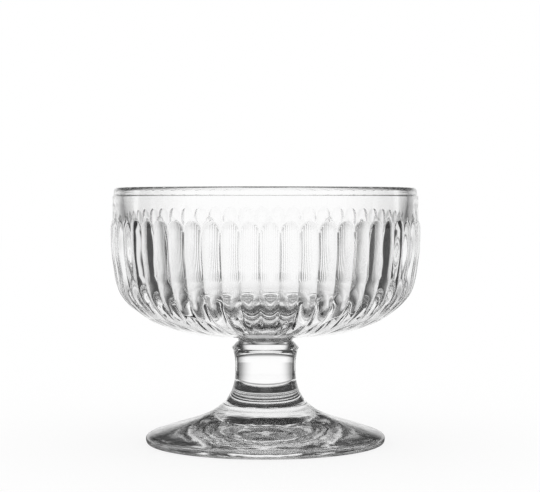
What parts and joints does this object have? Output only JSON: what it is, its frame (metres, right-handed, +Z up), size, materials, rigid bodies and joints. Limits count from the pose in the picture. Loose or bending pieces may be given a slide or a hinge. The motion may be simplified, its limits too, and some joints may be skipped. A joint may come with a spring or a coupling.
{
  "type": "ice cream glass",
  "caption": "Footed ice cream dish of clear pressed glass: fluted round bowl with a plain band and lip, waisted stem with a collar, and a domed round foot.",
  "frame": {"origin": "centre of the ring on which the foot stands", "axes": "+Z up along the axis of the bowl, stem and foot; a flute's crest lies on +X"},
  "size_m": [0.1052, 0.1052, 0.0865],
  "materials": {
    "glass_bowl": "clear soda-lime glass, pressed and fire-polished",
    "glass_stem": "clear soda-lime glass, pressed and fire-polished",
    "glass_foot": "clear soda-lime glass, pressed and fire-polished, with a stippled underside"
  },
  "bodies": {
    "root": {"bowl": "glass_bowl", "stem": "glass_stem", "foot": "glass_foot"}
  },
  "joints": []
}
